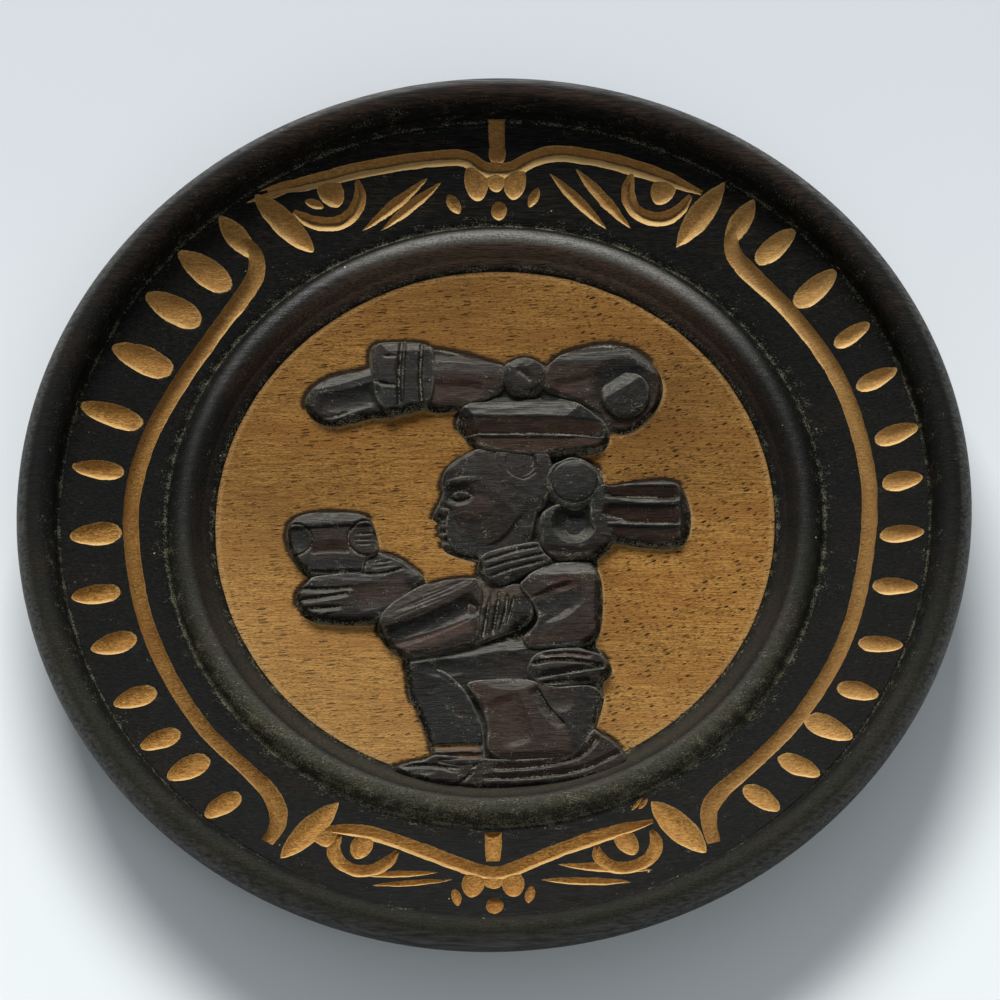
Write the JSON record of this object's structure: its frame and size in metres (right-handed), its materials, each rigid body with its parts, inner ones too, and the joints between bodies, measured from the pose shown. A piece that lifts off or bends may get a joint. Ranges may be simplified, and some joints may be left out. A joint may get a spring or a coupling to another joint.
{
  "type": "carved wooden wall plate",
  "caption": "Turned wooden wall plate with a rolled lip, a gouge-cut rim band and a seated figure in low relief; a strap with a swinging ring sits in the foot recess.",
  "frame": {"origin": "middle of the underside of the foot, on the surface that the plate lies on", "axes": "+Z out of the carved face, +Y towards the figure's head, +X to the viewer's right"},
  "size_m": [0.23, 0.23, 0.025],
  "materials": {
    "stained_wood": "dark stained, satin, with bare ochre wood where it is cut",
    "brass": "dull brass"
  },
  "bodies": {
    "plate": {"plate": "stained_wood", "hanger_strap": "brass", "hanger_screw_lower": "brass", "hanger_screw_upper": "brass"},
    "ring": {"hanger_ring": "brass"}
  },
  "joints": [
    {"name": "ring_swing", "type": "hinge", "parent": "plate", "child": "ring", "pos_m": [0, 0.042, 0.00225], "axis": [-1, 0, 0], "range_deg": [-5, 165]}
  ]
}
